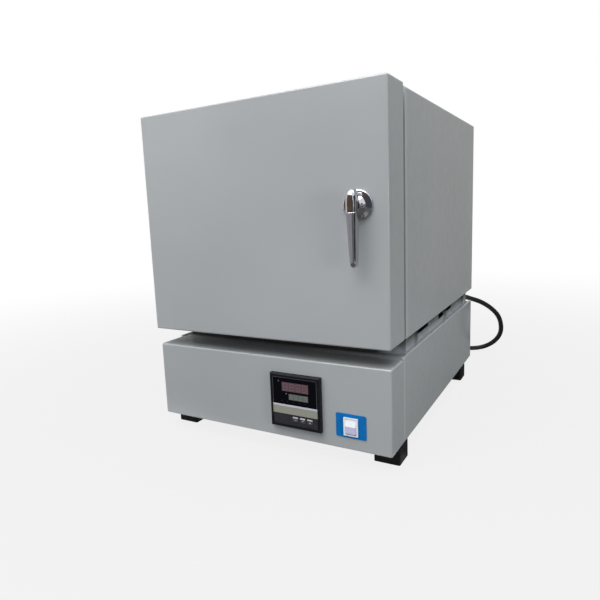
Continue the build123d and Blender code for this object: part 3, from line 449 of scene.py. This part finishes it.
def lofted(name, sections, finish, rings=6):
    """A smooth skin through the sections, closed at both ends."""
    heights = [section[0] for section in sections]
    columns = [[section[n] for section in sections] for n in range(1, 5)]
    slopes = [steady_slopes(heights, column) for column in columns]
    levels = []
    for low, high in zip(heights, heights[1:]):
        levels += [low + (high - low) * n / rings for n in range(rings)]
    points = []
    for height in levels + [heights[-1]]:
        sizes = [between(heights, column, slope, height) for column, slope in zip(columns, slopes)]
        for across, out in round_corners(*sizes):
            points.append(handle_axis + Vector((across, -out, height)) / 1000)
    around = len(round_corners(*sections[0][1:]))
    rows = len(levels) + 1
    faces = []
    for row in range(rows - 1):
        for n in range(around):
            a, b = row * around + n, row * around + (n + 1) % around
            faces.append((a, b, b + around, a + around))
    faces.append(tuple(reversed(range(around))))
    faces.append(tuple(range((rows - 1) * around, rows * around)))
    return smooth_piece(name, points, faces, finish)


lever = lofted("lever", lever_sections, chrome)
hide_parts("handle_lever")
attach(lever, "handle")
cap = lofted("lever_head_cap", head_sections, chrome)
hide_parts("handle_cap")
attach(cap, "handle")

# The rosette's half profile: distance from its axis and from the door, in millimetres
rosette_profile = [
    (24.0, 0.0), (24.0, 2.0), (23.8, 2.8), (23.3, 3.4), (22.6, 3.8), (21.8, 4.0), (20.5, 4.22),
    (19.0, 4.48), (17.5, 4.75), (16.0, 5.03), (14.7, 5.28), (13.9, 5.6), (13.1, 6.15), (12.0, 6.95),
    (10.6, 8.05), (9.2, 9.25), (8.1, 10.25), (7.4, 10.8), (6.9, 11.0), (5.3, 11.0), (5.1, 10.6),
    (5.1, 8.0),
]


def turned(name, profile, finish, steps=96):
    """A skin turned about the handle's axis."""
    points = []
    for radius, out in profile:
        for n in range(steps):
            angle = 2 * math.pi * n / steps
            place = Vector((radius * math.cos(angle), -out, radius * math.sin(angle)))
            points.append(handle_axis + place / 1000)
    faces = []
    for row in range(len(profile) - 1):
        for n in range(steps):
            a, b = row * steps + n, row * steps + (n + 1) % steps
            faces.append((b, a, a + steps, b + steps))
    return smooth_piece(name, points, faces, finish)


rosette = turned("rosette", rosette_profile, chrome)
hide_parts("handle_rosette")
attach(rosette, "door")


# Temperature controller
# A panel instrument in a satin black frame, held by its case and a clamp behind the panel. The
# upper window is glossy black over two displays; a silver band and three keys lie below it.
black_plastic = new_finish("black_plastic", (0.008, 0.008, 0.010), 0.45, specular=0.2)
shade_between(black_plastic, "Roughness", grain(black_plastic, 0.004), 0.36, 0.50)
blacker, greyer = (0.005, 0.005, 0.007), (0.010, 0.010, 0.013)
shade_between(black_plastic, "Base Color", grain(black_plastic, 0.01), blacker, greyer)
relief(black_plastic, grain(black_plastic, 0.0007), 0.00005, 0.4)
dress(black_plastic, "controller_bezel", "controller_case", "controller_clamp", "terminal_block")

window = new_finish("window", (0.0025, 0.0025, 0.005), 0.08, specular=0.15)
shade_between(window, "Roughness", grain(window, 0.02), 0.05, 0.14)
dress(window, "controller_lens")

lower_face = new_finish("lower_face", (0.030, 0.028, 0.034), 0.45, specular=0.25)
shade_between(
    lower_face, "Base Color", grain(lower_face, 0.006), (0.025, 0.023, 0.029), (0.037, 0.035, 0.042)
)
dress(lower_face, "controller_face")

silver_band = new_finish("silver_band", (0.30, 0.295, 0.25), 0.4)
brushing = grain(silver_band, 0.004, 3, (8, 1, 1))
shade_between(silver_band, "Base Color", brushing, (0.27, 0.265, 0.225), (0.34, 0.335, 0.29))
dress(silver_band, "controller_band")

key_cap = new_finish("key_cap", (0.050, 0.046, 0.052), 0.5)
shade_between(
    key_cap, "Base Color", grain(key_cap, 0.003), (0.042, 0.038, 0.044), (0.062, 0.058, 0.066)
)
dress(key_cap, "key_left", "key_middle", "key_right")


def film_print_or_highlight(name, colour, roughness, spread=0.12):
    """A film print, or a painted highlight laid on like one: nearly even, with a faint screen in its
    colour.
    """
    finish = new_finish(name, colour, roughness, specular=0.3)
    low = tuple(c * (1 - spread) for c in colour)
    high = tuple(c * (1 + spread) for c in colour)
    shade_between(finish, "Base Color", grain(finish, 0.0012, 2), low, high)
    return finish


lens_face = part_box("controller_lens")[0].y
bezel_low, bezel_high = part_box("controller_bezel")
print_depth = 0.00012


def oblong(left, right, top, bottom):
    """A print's corners, in millimetres to the right of and down from the bezel's upper left corner."""
    return [(left, bottom), (right, bottom), (right, top), (left, top)]


def plates(name, outlines, finish, face, body="cabinet"):
    """Thin raised prints and painted highlights on a face that looks forward."""
    mesh = bpy.data.meshes.new(name)
    shape = bmesh.new()
    for outline in outlines:
        near, far = [], []
        for across, down in outline:
            x, z = bezel_low.x + across / 1000, bezel_high.z - down / 1000
            near.append(shape.verts.new((x, face - print_depth, z)))
            far.append(shape.verts.new((x, face + print_depth, z)))
        shape.faces.new(near)
        shape.faces.new(list(reversed(far)))
        for n in range(len(near)):
            m = (n + 1) % len(near)
            shape.faces.new((near[n], far[n], far[m], near[m]))
    bmesh.ops.recalc_face_normals(shape, faces=shape.faces)
    shape.to_mesh(mesh)
    shape.free()
    mesh.materials.append(finish)
    piece = bpy.data.objects.new(name, mesh)
    bpy.context.collection.objects.link(piece)
    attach(piece, body)


upper_window = film_print_or_highlight("upper_window", (0.115, 0.066, 0.080), 0.2)
lower_window = film_print_or_highlight("lower_window", (0.115, 0.128, 0.120), 0.2)
unlit_red = film_print_or_highlight("unlit_red", (0.160, 0.105, 0.120), 0.2)
unlit_grey = film_print_or_highlight("unlit_grey", (0.185, 0.200, 0.190), 0.2)
faint_print = film_print_or_highlight("faint_print", (0.030, 0.028, 0.032), 0.3)
# A painted highlight for the bezel's inner bevel
bevel_highlight = film_print_or_highlight("bevel_highlight", (0.10, 0.10, 0.11), 0.4)
# A painted highlight for the top edge of the silver band
band_highlight_print = film_print_or_highlight("band_highlight_print", (0.55, 0.56, 0.62), 0.3, 0.05)
key_print = film_print_or_highlight("key_print", (0.62, 0.62, 0.66), 0.4, 0.05)
arrow_print = film_print_or_highlight("arrow_print", (0.30, 0.30, 0.33), 0.4, 0.05)


def digit_bars(left, top, width, height, bar):
    """The seven bars of one unlit figure."""
    right, bottom, middle = left + width, top + height, top + height / 2
    gap = bar / 4
    return [
        oblong(left + gap, right - gap, top, top + bar),
        oblong(left + gap, right - gap, middle - bar / 2, middle + bar / 2),
        oblong(left + gap, right - gap, bottom - bar, bottom),
        oblong(left, left + bar, top + bar + gap, middle - bar / 2 - gap),
        oblong(right - bar, right, top + bar + gap, middle - bar / 2 - gap),
        oblong(left, left + bar, middle + bar / 2 + gap, bottom - bar - gap),
        oblong(right - bar, right, middle + bar / 2 + gap, bottom - bar - gap),
    ]


def figures(left, top, pitch, width, height, bar, count=4):
    """The bars of a row of figures."""
    bars = []
    for n in range(count):
        bars += digit_bars(left + pitch * n, top, width, height, bar)
    return bars


display_face = lens_face - print_depth
upper_figures = figures(left=26.2, top=15.7, pitch=12.3, width=9.2, height=12.6, bar=1.8)
lower_figures = figures(left=38.7, top=35.2, pitch=9.0, width=6.4, height=8.1, bar=1.3)
plates("upper_display", [oblong(24, 75, 14, 30)], upper_window, lens_face)
plates("lower_display", [oblong(37, 74, 34, 44.6)], lower_window, lens_face)
plates("upper_figures", upper_figures, unlit_red, display_face)
plates("lower_figures", lower_figures, unlit_grey, display_face)

indicator_lamps = [oblong(16.8, 18.8, 12.0, 13.8), oblong(31.0, 33.0, 33.5, 35.3)]
alarm_pitch = 11.5
alarm_lamps = [oblong(22 + alarm_pitch * n, 23.6 + alarm_pitch * n, 47.6, 49.0) for n in range(5)]
plates("indicator_lamps", indicator_lamps, unlit_grey, lens_face)
plates("alarm_lamps", alarm_lamps, faint_print, lens_face)

# A painted highlight on the bezel's inner bevel: a fine grey line round the window, along its top and
# down both sides
bezel_side = 96
line_width = 0.7
window_left = window_top = 5.6
window_right = bezel_side - window_left
window_foot = 53.4
window_lines = [
    oblong(window_left, window_right, window_top, window_top + line_width),
    oblong(window_left, window_left + line_width, window_top, window_foot),
    oblong(window_right - line_width, window_right, window_top, window_foot),
]
plates("window_edge", window_lines, bevel_highlight, lens_face)
# A painted highlight along the top edge of the silver band
plates("band_highlight", [oblong(5.2, 90.8, 54.1, 57.4)], band_highlight_print, lens_face)

# The keys' marks, a bar and two arrows: the corners to the right of and down from the middle of the
# printed face's upper edge
key_marks = {
    "key_left": [(-2.4, 5.4), (2.4, 5.4), (2.4, 6.6), (-2.4, 6.6)],
    "key_middle": [(-2.2, 4.4), (2.2, 4.4), (0, 7.6)],
    "key_right": [(-2.2, 7.6), (2.2, 7.6), (0, 4.4)],
}
key_margin = 0.9
key_print_width = 11.0
strip_inset = 0.6
strip_top, strip_foot = 0.5, 2.7
for node, mark in key_marks.items():
    key_low, key_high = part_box(node)
    left = (key_low.x - bezel_low.x) * 1000 + key_margin
    top = (bezel_high.z - key_high.z) * 1000 + key_margin
    middle = left + key_print_width / 2
    right = left + key_print_width
    strip = oblong(left + strip_inset, right - strip_inset, top + strip_top, top + strip_foot)
    arrow = [(middle + across, top + down) for across, down in mark]
    plates(node + "_print", [strip], key_print, key_low.y, node)
    plates(node + "_arrow", [arrow], arrow_print, key_low.y, node)


# Rocker switch
# A white moulded frame and rocker, snapped into the panel through a satin blue plate. The lower
# half of the rocker carries a painted shade, in lavender.
blue_plate = new_finish("blue_plate", (0.001, 0.15, 0.46), 0.45, specular=0.15)
shade_between(
    blue_plate, "Base Color", grain(blue_plate, 0.012), (0.001, 0.145, 0.44), (0.001, 0.170, 0.50)
)
relief(blue_plate, grain(blue_plate, 0.0012), 0.00004, 0.4)
dress(blue_plate, "switch_plate")

white_plastic = new_finish("white_plastic", (0.86, 0.88, 0.91), 0.28)
shade_between(
    white_plastic, "Base Color", grain(white_plastic, 0.01), (0.84, 0.86, 0.90), (0.89, 0.90, 0.93)
)
shade_between(white_plastic, "Roughness", grain(white_plastic, 0.004), 0.22, 0.36)
dress(white_plastic, "switch_body", "power_relay")

rocker_white = new_finish("rocker_white", (0.84, 0.84, 0.92), 0.3)
rocker_height = along(rocker_white, "Z")
shaded_lavender, white = (0.60, 0.58, 0.82), (0.90, 0.92, 0.95)
# Painted shade: the rocker's lower half is made lavender and darker
shade_between(rocker_white, "Base Color", rocker_height, shaded_lavender, white, 0.50, 0.54)
relief(rocker_white, grain(rocker_white, 0.0012), 0.00003, 0.4)
shade_between(rocker_white, "Roughness", grain(rocker_white, 0.003), 0.25, 0.38)
dress(rocker_white, "switch_rocker")


# Mains lead
# A round black sheathed cord of about two metres. It leaves a ringed strain relief at the back of
# the riser, drops to the bench behind the furnace and runs to the put-away coil and the plug.
cord_sheath = new_finish("cord_sheath", (0.010, 0.009, 0.009), 0.5, specular=0.3)
shade_between(
    cord_sheath, "Base Color", grain(cord_sheath, 0.01), (0.008, 0.007, 0.007), (0.016, 0.015, 0.015)
)
shade_between(cord_sheath, "Roughness", grain(cord_sheath, 0.006), 0.42, 0.6)
relief(cord_sheath, grain(cord_sheath, 0.0009), 0.00008, 0.5)
dress(black_plastic, "cord_gland", "plug_body")

cord_radius = 0.006
base_low, base_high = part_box("base_front_pan")
cabinet_middle = (base_low.x + base_high.x) / 2
door_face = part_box("door_shell")[0].y
gland_end = rear_middle("cord_gland")

# The cord's middle line on its way to the coil and from the coil to the plug, in metres from the
# middle of the cabinet and from the door's face
free_run = [
    (0.2191, 0.656, 0.1838),
    (0.223, 0.690, 0.174),
    (0.243, 0.722, 0.162),
    (0.265, 0.754, 0.141),
    (0.283, 0.781, 0.114),
    (0.288, 0.803, 0.082),
    (0.284, 0.819, 0.052),
    (0.267, 0.825, 0.027),
    (0.242, 0.823, 0.011),
    (0.214, 0.811, 0.006),
    (0.179, 0.808, 0.006),
    (0.140, 0.812, 0.006),
    (0.102, 0.812, 0.006),
]
coil_start = Vector((0.090, 0.812, 0.006))
coil_mean_radius = 0.061
coil_pitch = 0.0145
coil_layer = 0.0130
layer_turns = 1.75
climb_turns = 0.5
turn_points = 24
plug_run = [
    (0.078, 0.812, 0.019),
    (0.060, 0.812, 0.019),
    (0.036, 0.810, 0.0155),
    (0.012, 0.808, 0.014),
    (-0.012, 0.807, 0.015),
    (-0.034, 0.807, 0.015),
]


def coil_line():
    """Points on the coil's middle line: in over the bench, up a layer, and out again on top."""
    outer = coil_mean_radius + coil_pitch * layer_turns / 2
    centre = coil_start - Vector((0, outer, 0))
    line = []
    for n in range(round((2 * layer_turns + climb_turns) * turn_points) + 1):
        turn = n / turn_points
        inward = min(turn, layer_turns)
        outward = max(0.0, turn - layer_turns - climb_turns)
        radius = outer - coil_pitch * (inward - outward)
        climb = min(1.0, max(0.0, (turn - layer_turns) / climb_turns))
        angle = math.pi / 2 + 2 * math.pi * turn
        lift = coil_layer * (1 - math.cos(math.pi * climb)) / 2
        line.append(centre + Vector((radius * math.cos(angle), radius * math.sin(angle), lift)))
    return line


def cord_curve(name, line, radius):
    """A round cord along one smooth spline."""
    curve = bpy.data.curves.new(name, "CURVE")
    curve.dimensions = "3D"
    curve.bevel_depth = radius
    curve.bevel_resolution = 6
    curve.resolution_u = 8
    curve.use_fill_caps = True
    spline = curve.splines.new("NURBS")
    spline.points.add(len(line) - 1)
    for point, place in zip(spline.points, line):
        point.co = (*place, 1)
    spline.order_u = 3
    spline.use_endpoint_u = True
    cord = bpy.data.objects.new(name, curve)
    bpy.context.collection.objects.link(cord)
    curve.materials.append(cord_sheath)
    return cord


to_frame = Vector((cabinet_middle, door_face, 0))
lead_line = [gland_end]
lead_line += [Vector(place) + to_frame for place in free_run]
lead_line += [place + to_frame for place in coil_line()]
lead_line += [Vector(place) + to_frame for place in plug_run]
lead = cord_curve("mains_lead", lead_line, cord_radius)
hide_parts("cord_lead", "cord_coil", "cord_tail")
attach(lead, "cabinet")


# Studio floor and sky
# A plain floor that shows nearly white to the camera but keeps the furnace's soft shadow, under a
# sky that is brighter at the upper left and dimmer and warmer at the lower right.
def seen_directly(tree):
    """1 where a ray comes from the camera, a mirror or glass, else 0."""
    path = tree.nodes.new("ShaderNodeLightPath")
    seen = path.outputs["Is Camera Ray"]
    for kind in ("Is Glossy Ray", "Is Transmission Ray"):
        seen = worked_out(tree, "MAXIMUM", seen, path.outputs[kind])
    return seen


floor_mesh = bpy.data.meshes.new("studio_floor")
reach = 14.0
corners = [(-reach, -reach, 0), (reach, -reach, 0), (reach, reach, 0), (-reach, reach, 0)]
floor_mesh.from_pydata(corners, [], [(0, 1, 2, 3)])
floor = bpy.data.objects.new("studio_floor", floor_mesh)
bpy.context.collection.objects.link(floor)
floor_paint = new_finish("floor_paint", (0.21, 0.206, 0.20), 0.9, specular=0.0)
floor_mesh.materials.append(floor_paint)
floor_tree = floor_paint.node_tree
glow = floor_tree.nodes.new("ShaderNodeEmission")
glow.inputs["Strength"].default_value = 1.0
spot = floor_tree.nodes.new("ShaderNodeTexCoord")
away = floor_tree.nodes.new("ShaderNodeVectorMath")
away.operation = "LENGTH"
both = floor_tree.nodes.new("ShaderNodeMixShader")
near, far = 0.4, 2.6
whiteness_near, whiteness_far = 0.835, 1.0
floor_tree.links.new(spot.outputs["Object"], away.inputs[0])
whiteness = soft_step(floor_tree, away.outputs["Value"], near, far, whiteness_near, whiteness_far)
share = worked_out(floor_tree, "MULTIPLY", seen_directly(floor_tree), whiteness)
floor_tree.links.new(share, both.inputs["Fac"])
floor_tree.links.new(shader_of(floor_paint).outputs["BSDF"], both.inputs[1])
floor_tree.links.new(glow.outputs["Emission"], both.inputs[2])
floor_tree.links.new(both.outputs["Shader"], floor_tree.nodes["Material Output"].inputs["Surface"])

world = bpy.data.worlds.new("studio_sky")
bpy.context.scene.world = world
world.use_nodes = True
sky_tree = world.node_tree
sky = sky_tree.nodes["Background"]
sky.inputs["Strength"].default_value = 1.0
toward = sky_tree.nodes.new("ShaderNodeTexCoord")
lean = sky_tree.nodes.new("ShaderNodeVectorMath")
lean.operation = "DOT_PRODUCT"
brightest_side = Vector((-0.62, -0.20, 0.75))
lean.inputs[1].default_value = brightest_side.normalized()
part = sky_tree.nodes.new("ShaderNodeMapRange")
part.inputs["From Min"].default_value = -1.0
dome = sky_tree.nodes.new("ShaderNodeValToRGB")
dim, bright = dome.color_ramp.elements
dim.position = 0.33
dim.color = (0.10, 0.095, 0.08, 1)
bright.position = 0.92
bright.color = (0.92, 0.95, 0.98, 1)
backdrop = sky_tree.nodes.new("ShaderNodeBackground")
backdrop.inputs["Color"].default_value = (1, 1, 1, 1)
backdrop.inputs["Strength"].default_value = 1.0
choose = sky_tree.nodes.new("ShaderNodeMixShader")
sky_tree.links.new(toward.outputs["Generated"], lean.inputs[0])
sky_tree.links.new(lean.outputs["Value"], part.inputs["Value"])
sky_tree.links.new(part.outputs["Result"], dome.inputs["Fac"])
sky_tree.links.new(dome.outputs["Color"], sky.inputs["Color"])
sky_tree.links.new(seen_directly(sky_tree), choose.inputs["Fac"])
sky_tree.links.new(sky.outputs["Background"], choose.inputs[1])
sky_tree.links.new(backdrop.outputs["Background"], choose.inputs[2])
sky_tree.links.new(choose.outputs["Shader"], sky_tree.nodes["World Output"].inputs["Surface"])


# Lamps and cards
# Three square soft lamps, above the front, above the right and low at the right. Dull cards and
# floor mats, which only mirrors and gloss see, stand in for a workshop round the furnace.
def soft_lamp(name, place, aim, size, power, colour=(1, 1, 1)):
    """A square lamp of this many metres and watts, turned from its place to its aim."""
    data = bpy.data.lights.new(name, "AREA")
    data.shape = "SQUARE"
    data.size = size
    data.energy = power
    data.color = colour
    lamp = bpy.data.objects.new(name, data)
    lamp.location = place
    lamp.rotation_mode = "QUATERNION"
    lamp.rotation_quaternion = (Vector(aim) - Vector(place)).to_track_quat("-Z", "Y")
    bpy.context.collection.objects.link(lamp)


soft_lamp("key_lamp", (-0.15, -1.35, 2.2), (0, -0.2, 0.35), 1.6, 39)
soft_lamp("top_lamp", (1.1, 0.1, 2.4), (0.2, 0.05, 0.3), 1.0, 16.5, (0.95, 0.98, 1.0))
soft_lamp("edge_lamp", (2.5, -1.3, 0.42), (0.24, -0.1, 0.2), 0.6, 14.5, (0.93, 0.97, 1.0))


def dull_sheet(name, start, end, edges, colour, steps=14):
    """A sheet bent round the lever, between two angles to the right of straight ahead. Its two edges
    are given by their distance from the lever and their level."""
    points = []
    for n in range(steps + 1):
        turn = math.radians(start + (end - start) * n / steps)
        for distance, level in edges:
            place = handle_axis + Vector((math.sin(turn), -math.cos(turn), 0)) * distance
            points.append((place.x, place.y, level))
    mesh = bpy.data.meshes.new(name)
    mesh.from_pydata(points, [], [(2 * n, 2 * n + 2, 2 * n + 3, 2 * n + 1) for n in range(steps)])
    sheet = bpy.data.objects.new(name, mesh)
    bpy.context.collection.objects.link(sheet)
    mesh.materials.append(new_finish(name, colour, 0.9, specular=0.0))
    sheet.visible_camera = False
    sheet.visible_diffuse = False
    sheet.visible_shadow = False


def card(name, start, end, distance, low, high, colour):
    """A sheet that stands upright at this distance, from a low to a high level."""
    dull_sheet(name, start, end, ((distance, low), (distance, high)), colour)


def mat(name, start, end, near, far, colour, level=0.004):
    """A sheet that lies just above the floor between two distances."""
    dull_sheet(name, start, end, ((far, level), (near, level)), colour)


# Name, the two angles, distance, low and high level, colour
card("left_rear_card", -172, -112, 1.9, 0.0, 1.2, (0.20, 0.195, 0.19))
card("low_card", -94, -3, 1.15, 0.0, 0.33, (0.60, 0.57, 0.62))
card("low_right_card", -3, 57, 1.15, 0.0, 0.33, (0.25, 0.24, 0.25))
card("head_left_card", -80, -46, 1.15, 0.33, 1.1, (0.95, 0.90, 0.88))
card("high_card", -46, -6, 1.15, 0.33, 1.1, (0.20, 0.135, 0.105))
card("high_right_card", -6, 35, 1.15, 0.33, 1.1, (0.12, 0.12, 0.15))
card("side_card", 35, 80, 1.15, 0.33, 0.62, (0.29, 0.28, 0.28))
card("narrow_card", 57, 126, 1.3, 0.0, 1.0, (0.03, 0.03, 0.035))
card("corner_card", 126, 159.5, 1.9, 0.0, 1.2, (0.12, 0.12, 0.13))
card("rear_card", 159.5, 177, 1.9, 0.0, 1.4, (0.39, 0.375, 0.355))

# Name, the two angles, near and far distance, colour
mat("front_mat", -80, 120, 0.05, 1.14, (0.08, 0.075, 0.07))
mat("rear_mat", 120, 177, 0.1, 1.9, (0.26, 0.26, 0.26))


# Camera
# It stands in front of the furnace and to its right, at about the height of the door's middle, and
# looks slightly down.
view = bpy.data.cameras.new("view")
view.sensor_width = 36.0
view.lens = 31.539
view.shift_x = 0.05684
view.shift_y = -0.00897
view.clip_start = 0.02
view.clip_end = 60
camera = bpy.data.objects.new("view", view)
bpy.context.collection.objects.link(camera)
camera.location = (0.49298, -1.06021, 0.42643)
camera.rotation_mode = "QUATERNION"
look = Vector((-0.52054, 0.83929, -0.15693))
roll = Quaternion((0, 0, 1), math.radians(-2.755))
camera.rotation_quaternion = look.to_track_quat("-Z", "Y") @ roll
bpy.context.scene.camera = camera
